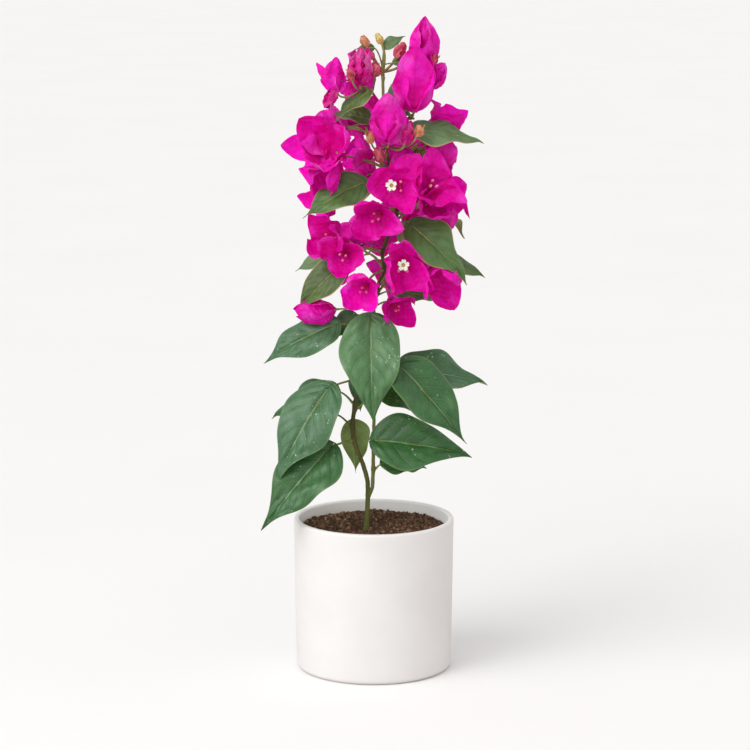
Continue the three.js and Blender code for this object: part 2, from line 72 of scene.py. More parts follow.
MAIN_BENDS = array([
    [SOIL_TOP + CLEAR, -6.2, -13], [153, -4.8, -11], [169, -8.6, -10], [183, -14.2, -8], [197, -17, -6],
    [217, -15, -2], [240, -10, 1], [290, -1, 4], [313, 3.5, 4], [326, 8.3, 2], [340, 7, 0], [355, 12.3, 1],
    [368, 17.6, 3], [384, 19, 4.5], [414, 11.4, 3], [446, 8.2, 0], [480, 7.1, 0],
], float)
SIDE_BENDS = array([[148, -1.2, -11.6], [170, -0.4, -11], [240, 0.4, -7], [290, 0.4, -5]], float)
# Where the side stem leaves the main one, and a bend on its way.
SIDE_JOIN, SIDE_LEAD = array([-4.9, -11.1, 141.0]), array([-3.2, -11.5, 145.0])

# Each single leaf: its stem and height; its petiole's bearing, reach and rise; its blade's length, bearing, slope and
# roll; and which of its piece's greens it has.
LEAVES = {
    "front": ("side", 281, -99, 15, 9, 86, -90, -68, 0, 0),
    "left_high": ("side", 278, 197, 31, 7, 66, 190, -20, -44, 1),
    "left_inner": ("side", 284, 172, 15, 7, 34, 206, -34, -30, 1),
    "left_large": ("main", 237, 216, 30, -4, 88, 213, -48, -28, 1),
    "left_behind": ("main", 218, 186, 14, 10, 60, 172, -14, -36, 2),
    "low_left": ("main", 189, 218, 22, -3, 87, 212, -38, -38, 2),
    "low_inner": ("main", 196, 80, 7, 6, 43, 84, -74, 0, 2),
    "low_right": ("side", 182, -60, 2, 8, 80, -6, -3, 58, 2),
    "low_right_behind": ("side", 166, 10, 6, 4, 40, 16, 0, 42, 2),
    "right_large": ("side", 243, -36, 24, 9, 82, -26, -40, 36, 2),
    "right_behind": ("side", 238, 26, 22, 5, 75, 5, -1, 44, 1),
    "right_inner": ("main", 214, 8, 18, 10, 46, 8, -10, 30, 2),
    "stem_inner": ("main", 232, 88, 9, 8, 32, -97, -80, 0, 1),
    "mid_behind": ("main", 306, 10, 12, 3, 38, 2, -4, 34, 1),
    "mid_right": ("main", 365, -56, 21, 0, 66, -28, -34, 38, 2),
    "upper_inner": ("main", 440, 150, 9, 5, 34, 172, 18, -34, 0),
    "top_inner": ("main", 452, 34, 6, 6, 34, 50, 58, 0, 1),
    "back_1": ("main", 200, 140, 18, 8, 56, 140, -34, 0, 2),
    "back_2": ("side", 232, 62, 16, 10, 62, 62, -14, 0, 0),
    "back_3": ("side", 262, 96, 16, 10, 64, 96, -40, 0, 1),
}

# Each flowering spray: its foot (stem, height, bearing, reach and rise to its fork), its leaves (a leaf's values from
# its petiole's bearing on), its blooms (stalk's bearing, reach and rise; bearing and slope that it looks to; bract
# length; openness; its bracts' turn if not left to chance) and its buds (stalk's bearing, reach and rise; length).
SPRAYS = {
    "tip": (("main", 480, 0, 0, 10), [(60, 2, 13, 20, 10, 34, 48), (-30, 10, 1, 17, 14, 14, 44),
    (205, 8, 13, 15, 196, 4, -50)], [], [(194, 12, 13, 10), (150, 1, 16, 9), (-16, 11, 5, 14), (-6, 20, 5, 9),
    (200, 8, 4, 8)]),
    "top_right": (("main", 436, -23, 23, 12), [(200, 4, 2, 26, 160, 34, 0)], [(-10, 8, 43, 90, 88, 36, 0.05, 0),
    (-92, 12, 8, 90, 87, 47, 0.12, 4), (-4, 14, 24, 2, 66, 22, 0.02)], [(-10, 13, 42, 10)]),
    "top_left": (("main", 455, 217, 20, 19), [(-58, 12, -3, 37, 198, -27, -12)], [(-94, 13, 2, 90, 78, 29, 0.12, 8),
    (214, 23, -3, 132, 66, 27, 0.22, 0), (96, 14, -12, 104, 40, 27, 0.45), (211, 25, -1, 214, -66, 17, 0.1)],
    [(250, 20, 6, 11), (-25, 12, 8, 12)]),
    "centre_top": (("main", 418, -94, 19, 10), [(10, 22, 12, 58, 0, 0, 34)], [(-80, 12, 3, 84, 82, 40, 0.18, 0),
    (-36, 18, 2, 60, 74, 21, 0.12, 0)], [(-27, 27, 8, 11), (226, 16, 3, 10), (240, 9, -12, 12)]),
    "right_upper": (("main", 408, 8, 25, 13), [], [(20, 10, 18, -6, 48, 32, 0.5, 0), (-60, 11, -10, 10, 44, 28, 0.45)],
    []),
    "left_upper": (("main", 406, 201, 41, 13), [], [(262, 13, 4, 244, 22, 42, 0.4, 50), (205, 14, 5, 214, 2, 34, 0.5),
    (252, 9, -3, 238, -36, 35, 0.24, 30)], []),
    "left_inner": (("main", 401, 170, 9, 12), [], [(180, 5, 5, 190, 12, 28, 0.55)], []),
    "front": (("main", 384, -97, 17, 8), [(204, 26, 8, 58, 205, -19, -40), (10, 9, 12, 26, 58, 62, 0)],
    [(10, 6, 10, 80, 76, 28, 0.25, 20), (288, 12, 5, 264, 6, 33, 0.7, 88)], []),
    "right_mid": (("main", 372, -37, 19.5, 8), [], [(-64, 15, 14, -70, 22, 35, 0.45), (-60, 11, 1, -60, 8, 31, 0.4),
    (40, 17, -10, -8, -16, 26, 0.5)], []),
    "left_mid": (("main", 374, 189, 39.5, 5), [], [(196, 9, 1, 200, -6, 31, 0.5)], []),
    "front_mid": (("main", 358, 245, 15.5, 5), [], [(262, 10, 12, 252, -14, 34, 0.5, 20)], []),
    "left_low": (("main", 341, 205, 23, 4), [(190, 9, -13, 53, 197, -36, -44), (150, 24, -8, 30, 182, -16, -34)],
    [(205, 16, 9, 232, 6, 31, 0.5), (249, 17, -2, 258, -6, 30, 0.55)], []),
    "centre_low": (("main", 326, 238, 19, -4), [], [(262, 13, -3, 252, -16, 33, 0.42, 0)], []),
    "right_low": (("main", 316, -37, 18, 14), [(23, 30, 7, 46, 2, -12, 32)], [(-80, 12, 5, -88, -10, 37, 0.55, 0),
    (-10, 28, 1, -66, -36, 37, 0.4)], []),
    "side_top": (("side", 290, 0, 0, 7), [], [(-20, 15, 4, -60, -24, 27, 0.45), (195, 33, -1, 183, -6, 32, 0.15)], []),
}
BACK = Sizes(sprays=7, lowest=308, highest=426, bearings=(28, 144), turn=0.618, reach=24, rise=9, bract=32, leaf=44)

# Young, rosy, crinkled blooms; blooms with an open star; what is added to blooms' seeds so that their bracts fold
# clear of what is in front; and sprays' buds where they aren't all rose: 0 rose, 1 peach, 2 gold.
CRINKLED = {("top_left", 0), ("top_left", 3), ("centre_top", 1)}
STARRED = {("front", 1), ("right_low", 0)}
OTHER_FOLDS = {
    "top_right": (0, 71, 0), "top_left": (0, 40, 0, 0), "left_upper": (120, 40, 150), "right_mid": (150, 0, 90),
    "left_mid": (71,), "front_mid": (71,), "left_low": (0, 71), "centre_low": (90,), "right_low": (150, 90),
    "side_top": (90, 120), "back_4": (185, 0),
}
BUD_TONES = {"tip": (1, 2, 0, 0, 1), "centre_top": (1, 1, 0)}


# ---- the growth rule
def heading(bearing, slope):
    b, s = radians(bearing), radians(slope)
    return array([math.cos(s) * math.cos(b), math.cos(s) * math.sin(b), math.sin(s)])


def chance(n):
    """A repeatable number from 0 to 1."""
    s = math.sin((n + SEED) * 12.9898) * 43758.5453
    return s - math.floor(s)


def between(low, high, n):
    return low + (high - low) * chance(n)


def unit(v):
    return v / np.linalg.norm(v, axis=-1, keepdims=True)


def turned(v, axis, angle):
    """v turned about a unit axis."""
    a = radians(angle)
    return v * math.cos(a) + cross(axis, v) * math.sin(a) + axis * np.dot(axis, v) * (1 - math.cos(a))


def stem_at(bends, height):
    """A stem's centres at heights: a cubic between bends, by slopes from each bend's neighbours."""
    height = np.atleast_1d(np.asarray(height, float))
    h = bends[:, 0]
    last = len(h) - 1
    before, after = maximum(arange(last + 1) - 1, 0), np.minimum(arange(last + 1) + 1, last)
    slope = (bends[after, 1:] - bends[before, 1:]) / (h[after] - h[before])[:, None]
    i = clip(np.searchsorted(h, height, side="right") - 1, 0, last - 1)
    span = (h[i + 1] - h[i])[:, None]
    t = (height[:, None] - h[i][:, None]) / span
    place = (bends[i, 1:] * (2 * t**3 - 3 * t**2 + 1) + slope[i] * span * (t**3 - 2 * t**2 + t)
             + bends[i + 1, 1:] * (3 * t**2 - 2 * t**3) + slope[i + 1] * span * (t**3 - t**2))
    return column_stack([place, height])


def main_radius(height):
    rise = height - MAIN_BENDS[0, 0]
    share = rise / (MAIN_BENDS[-1, 0] - MAIN_BENDS[0, 0])
    return MAIN_STEM.foot - MAIN_STEM.taper * share + exp(-maximum(rise, 0) / MAIN_STEM.flare)


def side_radius(height):
    share = (height - SIDE_BENDS[0, 0]) / (SIDE_BENDS[-1, 0] - SIDE_BENDS[0, 0])
    return SIDE_STEM.foot - SIDE_STEM.taper * share


STEMS = {"main": (MAIN_BENDS, main_radius), "side": (SIDE_BENDS, side_radius)}


def foot_on(stem, height, bearing, radius):
    """Where a twig starts beside a stem, or just above the stem's end."""
    bends, stem_radius = STEMS[stem]
    centre = stem_at(bends, height)[0]
    if height >= bends[-1, 0]:
        return centre + [0, 0, CLEAR]
    lean = unit(stem_at(bends, height + 1)[0] - stem_at(bends, height - 1)[0])
    out = heading(bearing, 0)
    return centre + unit(out - lean * np.dot(out, lean)) * (stem_radius(height) + CLEAR + 0.5 * radius)


def beyond(start, bearing, reach, rise):
    return start + heading(bearing, 0) * reach + array([0, 0, rise])


def on_curve(a, b, c, t):
    """The place at share t on a curve from a, towards b, to c."""
    return a * (1 - t) ** 2 + b * 2 * t * (1 - t) + c * t**2


def bezier(a, b, c, count):
    return on_curve(a, b, c, linspace(0, 1, count)[:, None])


def arch_top(start, end):
    """An arch heads up first where it rises, and out first where it falls."""
    via = (start + end) / 2
    via[2] = max(start[2], end[2])
    return via


def arch(start, end, count):
    return bezier(start, arch_top(start, end), end, count)


def arriving(start, end, direction, count):
    return bezier(start, end - direction * 0.45 * np.linalg.norm(end - start), end, count)


# ---- surfaces as arrays
def net(rows, columns, closed):
    """Two triangles for each cell; a closed grid's last column joins its first."""
    i = arange(rows - 1)[:, None]
    j = arange(columns if closed else columns - 1)[None, :]
    k = (j + 1) % columns
    a, b, c, d = i * columns + j, i * columns + k, (i + 1) * columns + k, (i + 1) * columns + j
    return concatenate([stack([a, b, c], -1).reshape(-1, 3), stack([a, c, d], -1).reshape(-1, 3)])


def capped(rows, sides):
    """A closed grid with fans at its ends, whose middle points come last."""
    count = rows * sides
    j = arange(sides)
    k = (j + 1) % sides
    return concatenate([net(rows, sides, True), stack([np.full(sides, count), k, j], -1),
                        stack([np.full(sides, count + 1), count - sides + j, count - sides + k], -1)])


def shares(rows, columns, low):
    """Shares along, and places across from the low number to 1."""
    return np.meshgrid(linspace(0, 1, rows), linspace(low, 1, columns), indexing="ij")


def block(points, faces, lie, material=0):
    """The points, triangles, places in the pattern and material numbers of one surface."""
    return (np.asarray(points, float), faces, np.asarray(lie, float),
            np.broadcast_to(np.asarray(material), (len(faces),)).copy())


def round_turn(sides):
    return linspace(0, 2 * pi, sides, endpoint=False)


def tube(line, radii, sides, material=0, steady=None):
    """Rings along a line, across one steady direction made square to it, with a fan at each end."""
    line = np.asarray(line, float)
    along = unit(np.gradient(line, axis=0))
    if steady is None:
        steady = cross(along[0], along[-1])
        if np.linalg.norm(steady) < 0.05:
            steady = cross(along[0], [0.3, 0.9, 0.2])
        steady = unit(steady)
    across = unit(steady - along * (along @ steady)[:, None])
    over = cross(along, across)
    a = round_turn(sides)[None, :, None]
    radii = np.asarray(radii, float)
    radii = radii[:, None, None] if radii.ndim == 1 else radii[:, :, None]
    ring = line[:, None] + radii * (cos(a) * across[:, None] + sin(a) * over[:, None])
    n = len(line)
    lie = column_stack([np.repeat(linspace(0, 1, n), sides), np.tile(arange(sides) / sides, n)])
    return block(concatenate([ring.reshape(-1, 3), line[:1], line[-1:]]), capped(n, sides),
                 concatenate([lie, [[0, 0.5], [1, 0.5]]]), material)


def shell(upper, under, upper_skin, under_skin):
    """An upper grid, an under grid that faces away, and a strip round their borders."""
    rows, columns = upper.shape[:2]
    count = rows * columns
    grid = net(rows, columns, False)
    i, j = arange(rows), arange(columns)
    border = concatenate([i * columns, (rows - 1) * columns + j[1:], (i[::-1] * columns + columns - 1)[1:],
                          j[::-1][1:]])
    here, there = border[:-1], border[1:]
    faces = concatenate([grid[:, [0, 2, 1]], grid + count, stack([here, here + count, there + count], -1),
                         stack([here, there + count, there], -1)])
    lie = np.tile(stack(shares(rows, columns, 0), -1).reshape(-1, 2), (2, 1))
    material = where(arange(len(faces)) < len(grid), upper_skin, under_skin)
    return concatenate([upper.reshape(-1, 3), under.reshape(-1, 3)]), faces, lie, material


def lathe(profile, sides, ripple):
    """A profile of radius and height carried once round +Z, its radius in a slow ripple."""
    a = round_turn(sides)
    inner = profile[1:-1]
    r = inner[:, :1] + ripple * sin(2 * a + 0.7 + inner[:, 1:] * 0.03) * np.minimum(inner[:, :1] / 50, 1)
    ring = stack([r * cos(a), r * sin(a), np.broadcast_to(inner[:, 1:], r.shape)], -1)
    ends = array([[0, 0, profile[0, 1]], [0, 0, profile[-1, 1]]])
    lie = column_stack([np.tile(a / (2 * pi), len(inner)), np.repeat(inner[:, 1] / 100, sides)])
    return block(concatenate([ring.reshape(-1, 3), ends]), capped(len(inner), sides),
                 concatenate([lie, [[0, 0], [0, 0]]]))


def arc(centre, radius, start, end, count):
    a = np.radians(linspace(start, end, count))
    return column_stack([centre[0] + radius * cos(a), centre[1] + radius * sin(a)])


def ripples(u, v, seed, count, waves, sharp=False):
    """A sum of sines, each across its own direction; sharp ones make ridges."""
    height = 0
    for n in range(count):
        angle = 2 * pi * chance(seed + 11 * n)
        k = between(waves[0], waves[1], seed + 11 * n + 1)
        one = sin(2 * pi * (k * (u * cos(angle) + v * sin(angle)) + chance(seed + 11 * n + 2)))
        height = height + (1 - 2 * np.abs(one) if sharp else one)
    return height / math.sqrt(count)


def bulging(share, v, count, seed):
    """The outline's wave, of its own phase on each half."""
    right, left = chance(seed + 7), chance(seed + 8)
    return sin(2 * pi * (count * share + where(v > 0, right, left))) * sin(pi * share)


def margin_wave(share, v, counts, seed):
    """The margin's wave up and down, of its own phase on each half."""
    waves = between(*counts, seed + 2) * share + where(v > 0, chance(seed + 3), chance(seed + 4))
    return np.abs(v) ** 2.2 * sin(2 * pi * waves)


# ---- leaves
def leaf_outline(u):
    """Half-width along the length: broadest a third of the way, with a drawn-out tip."""
    return np.abs(sin(pi * clip(u, 0, 1) ** 0.58)) ** (1.05 + 0.35 * u)


def leaf(start, row, seed, upper_skin, rows=57, columns=29):
    """A blade and its stalk: the midrib bends by an even curl, the halves rise from it and turn down at their
    margins, and the sheet swells between slanting side veins."""
    bearing, reach, rise, length, towards, slope, roll = row
    base = beyond(start, bearing, reach, rise)
    ahead = heading(towards, slope)
    face = turned(heading(towards, slope + 90), ahead, roll)
    side = cross(face, ahead)
    share, v = shares(rows, columns, -1)
    size = length / LEAF.usual
    curl = radians(LEAF.curl)
    sweep = between(-0.04, 0.04, seed) * length
    hook = between(-0.35, 0.35, seed + 6) * length

    def midrib(u):
        c = curl * u
        place = (ahead * (sin(c) / curl)[..., None] - face * ((1 - cos(c)) / curl)[..., None]) * length
        bend = sweep * (u**2 - u**3 * 0.6) + hook * maximum(u - 0.72, 0) ** 2
        return base + place + side * bend[..., None]

    def facing(u):
        return face * cos(curl * u)[..., None] + ahead * sin(curl * u)[..., None]

    away = np.abs(v)
    bulge = 1 + LEAF.bulge * bulging(share, v, 1.7, seed)
    half = maximum(length * LEAF.width / 2 * leaf_outline(share) * bulge, 0.2)
    u = share - LEAF.lobes * away**1.5 * (1 - share) ** 3
    twist = np.radians(between(-13, 13, seed + 1) * share**1.5)[..., None]
    normal = facing(u)
    across = side * cos(twist) + normal * sin(twist)
    normal = normal * cos(twist) - side * sin(twist)
    fold = LEAF.fold * between(0.7, 1.7, seed + 9)
    rise = half * fold * (sqrt(away**2 + 0.01) - 0.1) * 1.3 - half * between(0.1, 0.3, seed + 10) * away**2.5
    phase = LEAF.pairs * (share - LEAF.slant * away - 0.12 * away**2)
    pads = np.abs(sin(pi * phase)) ** 0.7 * sqrt(away) * (1 - away**3)
    swell = LEAF.swell * size * pads * clip(4 * (1 - share), 0, 1)
    groove = LEAF.groove * size * exp(-((v * half / (1.3 * size)) ** 2))
    wave = LEAF.wave * length * margin_wave(share, v, (1.3, 2.3), seed) * sin(pi * share) ** 0.5
    dents = LEAF.dents * size * ripples(share, v * 0.5, seed + 20, 7, (1.5, 5))
    height = rise + swell - groove + wave + dents * clip(5 * (1 - share), 0, 1)
    upper = midrib(u) + across * (half * v)[..., None] + normal * height[..., None]
    thick = 0.34 * size + 0.12
    blade = shell(upper, upper - normal * thick, upper_skin, 3)

    rib = linspace(0.06, 0.92, 16)
    line = concatenate([arch(start, base, 12), midrib(rib) - facing(rib) * (thick + 0.45 * size)])
    for _ in range(3):
        line[1:-1] = line[1:-1] * 0.5 + (line[:-2] + line[2:]) * 0.25
    radii = interp(linspace(0, 1, len(line)), [0, 0.05, 0.15, 0.43, 1], [1.5, 1.25, 1, 0.95, 0.22])
    return blade, tube(line, PETIOLE.radius * (0.55 + 0.45 * min(size, 1)) * radii, 8, 4)


# ---- blooms
def creased(a, x, h, at, toward, bend, soft):
    """A flat sheet bent along a line: t is the distance past the line, smooth near zero."""
    t = soft * np.logaddexp(0, (toward[0] * (a - at[0]) + toward[1] * (x - at[1])) / soft)
    back = t * (1 - math.cos(bend))
    return a - back * toward[0], x - back * toward[1], h + t * math.sin(bend)


def bract(base, axis, out, size, opened, seed, rows, columns, crumple):
    """A sheet whose midrib bends from the flare angle to the tip angle, in an arc across that is tighter the less the
    bloom is open. It is folded along the midrib, near the tip and near one side, puffed and crumpled."""
    share, v = shares(rows, columns, -1)
    away = np.abs(v)
    flare = BRACT.flare * (0.6 + 0.4 * min(opened / 0.4, 1))
    tip_angle = BRACT.tip_shut + (BRACT.tip_open - BRACT.tip_shut) * opened + between(-12, 12, seed)
    broad, blunt = BRACT.width * between(0.92, 1.12, seed + 6), between(0.58, 0.86, seed + 11)
    peak = 0.5 / (0.5 + blunt)
    outline = maximum(share, 1e-4) ** 0.5 * (1 - share) ** blunt / (peak**0.5 * (1 - peak) ** blunt)
    rim = size * broad / 2
    width = maximum(rim * outline * (1 + BRACT.bulge * bulging(share, v, 1.9, seed)), 0.12)
    unit_size = size / BRACT.usual
    ease = clip(7 * share, 0, 1) * clip(6 * (1 - share), 0, 1)
    phase = BRACT.pairs * (share - BRACT.slant * away - 0.15 * away**2)
    puffs = BRACT.puffs * sqrt(np.abs(sin(pi * phase))) * sqrt(away) * (1 - away**3)
    crumples = BRACT.crumples * ripples(share * 1.1, v * 0.5, seed + 30, 7, (0.9, 3.0))
    ridges = BRACT.ridges * ripples(share, v * 0.45, seed + 130, 6, (2.5, 5.5), True)
    wave = BRACT.wave * size * margin_wave(share, v, (1.1, 2.4), seed)
    a = size * (share - BRACT.lobes * away**1.5 * (1 - share) ** 3)
    x = width * v
    h = (unit_size * crumple * (puffs + crumples + ridges) + wave) * ease
    loose = min(1.0, 0.3 + 1.4 * opened)
    soft = 0.9 * unit_size
    lean = radians(between(-35, 35, seed + 12))
    a, x, h = creased(a, x, h, (size * between(0.55, 0.8, seed + 13), 0), (math.cos(lean), math.sin(lean)),
                      radians(between(-62, 48, seed + 14) * loose), soft)
    lean = radians(between(-30, 30, seed + 15))
    sides = 1 if chance(seed + 7) > chance(seed + 8) else -1
    a, x, h = creased(a, x, h, (size * 0.45, sides * rim * between(0.3, 0.7, seed + 16)),
                      (math.sin(lean), sides * math.cos(lean)), radians(between(-60, 40, seed + 17) * loose), soft)
    h = h + np.tan(radians(between(2, 20, seed + 9))) * (sqrt(x**2 + 0.6) - 0.77)
    bow = size * (0.34 + 0.8 * opened)
    d = x / bow
    angle = np.radians(flare + (tip_angle - flare) * a / size)
    mean = (radians(flare) + angle) / 2
    middle = base + out * (a * sin(mean))[..., None] + axis * (a * cos(mean))[..., None]
    inward = axis * sin(angle)[..., None] - out * cos(angle)[..., None]
    side = cross(axis, out)
    upper = middle + side * (bow * sin(d))[..., None] + inward * (bow * (1 - cos(d)) + h)[..., None]
    return shell(upper, upper - inward * BRACT.thick, 0, 1)


def flower_tube(base, axis, out, size, opened, seed, star):
    """A slender flower, shut by a blunt pale tip unless it carries a star."""
    rings, sides, pale_from = 15, 8, 11
    lean = 0.03 + 0.12 * opened
    line = bezier(base + out * 0.5 + axis * 1.2, base + axis * size * 0.22 + out * size * lean * 0.9,
                  base + axis * size * between(0.36, 0.46, seed) + out * size * lean * between(0.8, 1.3, seed + 1),
                  rings)
    if star:
        stations, radii = [0, 0.12, 0.45, 0.9, 1], [0.6, 1.05, 0.65, 0.9, 1.1]
    else:
        stations, radii = [0, 0.12, 0.45, 0.72, 0.84, 0.93, 1], [0.6, 1.0, 0.55, 0.8, 1.15, 1.05, 0.2]
    made = tube(line, interp(linspace(0, 1, rings), stations, radii) * size / BRACT.usual, sides)
    first = made[1][:, 0]
    made[3][:] = (first // sides >= pale_from) & (first != rings * sides)
    return made, line[-1], unit(line[-1] - line[-3])


def flower_star(centre, axis, seed):
    rows, columns, throat, radius = 9, 61, 2, STAR.radius
    s, a = np.meshgrid(linspace(0.12, 1, rows), linspace(0, 2 * pi, columns), indexing="ij")
    lobe = np.abs(cos(2.5 * a)) ** 0.55
    notch = 0.13 * exp(-((sin(2.5 * a) / 0.22) ** 2))
    r = radius * s * (1 - s**1.5 * (1 - (0.5 + 0.5 * lobe - notch)))
    across = unit(cross(axis, [0.31, 0.52, 0.79]))
    over = cross(axis, across)
    z = radius * (0.16 * s + 0.1 * s**2 * cos(10 * a + seed) - 0.35 * (1 - s) ** 3)
    upper = centre + across * (r * cos(a))[..., None] + over * (r * sin(a))[..., None] + axis * z[..., None]
    made = shell(upper, upper - axis * STAR.thick, 0, 0)
    first = net(rows, columns, False)[:, 0]
    made[3][: len(first)] = first // columns < throat
    return made


# ---- grow the whole plant
low_leaves, high_leaves, twigs, stalks, tubes, stars = [], [], [], [], [], []
bright_bracts, deep_bracts, rosy_bracts = [], [], []
young_bracts = ([], [], [])
leaving = {"main": [], "side": []}

for number, (stem, height, *row, tone) in enumerate(LEAVES.values()):
    leaving[stem].append((height, row[0]))
    store = high_leaves if height > LOW_TOP else low_leaves
    store.extend(leaf(foot_on(stem, height, row[0], PETIOLE.clear), row, 400 + 17 * number, tone))


def back_spray(i):
    """The far side's sprays turn by the golden share of their range from one to the next."""
    low, high = BACK.bearings
    height = BACK.lowest + (BACK.highest - BACK.lowest) * i / (BACK.sprays - 1)
    bearing = low + (high - low) * ((i * BACK.turn + 0.2) % 1)
    n = 100 + 10 * i
    return (
        ("main", height, bearing, BACK.reach, BACK.rise),
        [(bearing + between(-50, 50, n), 10, 4, BACK.leaf + between(-6, 10, n + 1), bearing,
          between(-35, -5, n + 2), 0)],
        [(bearing - 50, 14, between(2, 12, n + 3), bearing - 28, between(0, 35, n + 4),
          BACK.bract + between(-3, 4, n + 5), 0.6),
         (bearing + 48, 14, between(-6, 6, n + 6), bearing + 26, between(-15, 25, n + 7),
          BACK.bract + between(-3, 4, n + 8), 0.6)],
        [],
    )


def grow_bloom(number, name, i, row, origin, base, lit_bloom_share):
    """Three bracts on a stalk, each with a flower once the bloom is open."""
    towards, slope, size, opened = row[3:7]
    axis, out = heading(towards, slope), heading(towards, slope + 90)
    line = arriving(origin, base + axis * 0.4, axis, 14)
    stalks.append(tube(line, STALK * interp(linspace(0, 1, 14), [0, 0.1, 0.85, 1], [1.3, 1, 1, 1.7]), 7))
    spin = row[7] if len(row) > 7 else 120 * chance(31 * number + 7 * i)
    if (name, i) in CRINKLED:
        store, detail = rosy_bracts, (37, 25, 2.5)
    else:
        # Painted light: the bright skin is dealt out more often the higher the spray's foot, so the top looks lit and
        # the lower blooms shaded.
        store = deep_bracts if chance(31 * number + 3 * i + 5) > lit_bloom_share else bright_bracts
        detail = (33, 21, 1.1 if opened > 0.2 or size > 44 else 1.5)
    for k in range(3):
        outward = turned(out, axis, spin + 120 * k)
        seed = 2000 + 97 * number + 13 * i + 5 * k + (OTHER_FOLDS[name][i] if name in OTHER_FOLDS else 0)
        store.append(bract(base, axis, outward, size, opened, seed, *detail))
        if opened > 0.4:
            star = (name, i) in STARRED and k == 0
            made, end, direction = flower_tube(base, axis, outward, size, opened, seed, star)
            tubes.append(made)
            if star:
                stars.append(flower_star(end + direction * STAR.ahead, direction, seed))


def grow_bud(number, order, store, length, origin, base, stout):
    """Two layers of three shut bracts in a small cup, on a stalk."""
    end = base - origin
    turn = degrees(math.atan2(end[1], end[0]))
    axis, out = heading(turn, 62), heading(turn, 152)
    stalks.append(tube(arriving(origin, base, axis, 12), np.full(12, STALK * (stout - 0.15)), 7))
    for layer in range(2):
        for k in range(3):
            outward = turned(out, axis, 120 * k + 60 * layer + 40 * number + 25 * order)
            seed = 5000 + 61 * number + 7 * order + k + 3 * layer
            store.append(bract(base + axis * (0.5 * layer), axis, outward, length * (1.05 - 0.25 * layer),
                               0.1 + 0.04 * layer, seed, 15, 11, 1.5))
    cup = bezier(base - axis * 0.8, base + axis * 0.4, base + axis * length * 0.3, 6)
    twigs.append(tube(cup, array([0.5, 1.0, 1.3, 1.3, 0.9, 0.3]) * length / 10, 8))


def grow_spray(number, name, foot, leaves, blooms, buds):
    """One twig, with its leaves, blooms and buds leaving it in turn from its fork back."""
    stem, height, bearing, reach, rise = foot
    leaving[stem].append((height, bearing))
    start = foot_on(stem, height, bearing, TWIG.root)
    fork = beyond(start, bearing, reach, rise)
    stout = TWIG.top_stout if name == "tip" else TWIG.stout
    knots = 1 + 0.1 * sin(arange(16) * 2.1)
    twigs.append(tube(arch(start, fork, 16), linspace(TWIG.root, TWIG.tip, 16) * stout * knots, 8))
    # Painted light: the share of bright blooms grows with the height of the spray's foot.
    lit_bloom_share = interp(height, LIT_BLOOM_HEIGHTS, LIT_BLOOM_SHARES)
    for order, row in enumerate([*leaves, *blooms, *buds], 1):
        back = TWIG.inside + (order - 1) * TWIG.spacing
        t = max(1 - back / np.linalg.norm(fork - start), 0.2)
        origin = on_curve(start, arch_top(start, fork), fork, t)
        base = beyond(fork, *row[:3])
        i = order - 1 - len(leaves)
        if i < 0:
            end = base - origin
            turn = degrees(math.atan2(end[1], end[0]))
            high_leaves.extend(leaf(origin, (turn, math.hypot(end[0], end[1]), end[2], *row[3:]),
                                    900 + 31 * number + order, (number + order) % 3))
        elif i < len(blooms):
            grow_bloom(number, name, i, row, origin, base, lit_bloom_share)
        else:
            tones = BUD_TONES.get(name, (0,))
            store = young_bracts[tones[(i - len(blooms)) % len(tones)]]
            grow_bud(number, order, store, row[3], origin, base, stout)


sprays = {**SPRAYS, **{f"back_{i + 1}": back_spray(i) for i in range(BACK.sprays)}}
for number, (name, rows) in enumerate(sprays.items()):
    grow_spray(number, name, *rows)


def stem_bark(heights, stem, sides, seed, line):
    """A stem with low ribs that wander round it, and a boss wherever something leaves."""
    a = round_turn(sides)[None, :]
    h = line[:, 2:]
    relief = 0.05 * sin(5 * a + 0.11 * h + seed) + 0.035 * sin(9 * a - 0.23 * h) + 0.03 * sin(0.9 * h + 3 * a)
    r = STEMS[stem][1](heights)[:, None] * (1 + relief)
    for height, bearing in leaving[stem]:
        near = exp(-(((h - height) / 2.4) ** 2))
        turn = a - radians(bearing)
        r = r + near * (0.22 + 0.75 * clip(cos(turn), 0, 1) ** 2)
    return tube(line, r, sides, 0, array([1.0, 0, 0]))


# The main stem runs a little into the soil; the side stem leaves it in a curve.
heights = linspace(SOIL_TOP - 2, MAIN_BENDS[-1, 0], 420)
above = maximum(heights, MAIN_BENDS[0, 0])
line = stem_at(MAIN_BENDS, above)
line[:, 2] = heights
main_bark = stem_bark(above, "main", 20, 1, line)
line = stem_at(SIDE_BENDS, linspace(SIDE_BENDS[0, 0], SIDE_BENDS[-1, 0], 170))[4:]
line = concatenate([bezier(SIDE_JOIN, SIDE_LEAD, line[0], 12)[:-1], line])
side_bark = stem_bark(maximum(line[:, 2], SIDE_BENDS[0, 0]), "side", 16, 4, line)


# ---- materials
def srgb(shown):
    """A display colour as linear light."""
    c = array([int(shown[i:i + 2], 16) for i in (0, 2, 4)]) / 255
    return (*where(c <= 0.04045, c / 12.92, ((c + 0.055) / 1.055) ** 2.4), 1)


